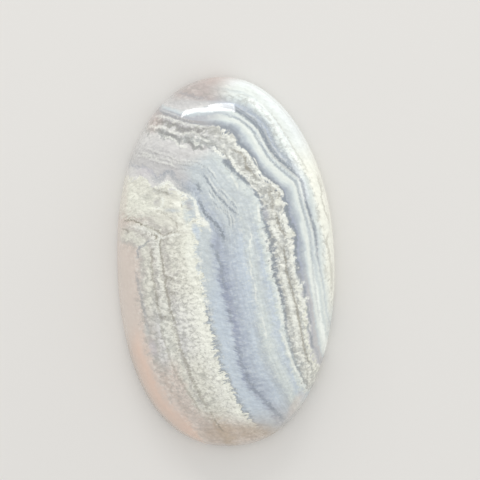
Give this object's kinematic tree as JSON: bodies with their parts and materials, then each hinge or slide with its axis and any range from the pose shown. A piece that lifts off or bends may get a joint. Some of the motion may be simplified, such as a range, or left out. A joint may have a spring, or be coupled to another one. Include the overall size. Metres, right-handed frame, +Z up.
{
  "type": "chalcedony cabochon",
  "caption": "Polished oval cabochon of banded pale blue, grey and cream chalcedony, with a smooth dome, a low side wall and a flat ground back.",
  "frame": {"origin": "middle of the flat ground back, on the surface that the stone lies on", "axes": "+Z up through the dome, +Y along the stone's length towards the end that is at the top of the picture, +X across its width"},
  "size_m": [0.02, 0.034, 0.0065],
  "materials": {
    "chalcedony": "polished dome and wall with a glassy skin over pale blue, grey and cream bands, and a fine ground satin back"
  },
  "bodies": {
    "root": {"cabochon": "chalcedony"}
  },
  "joints": []
}
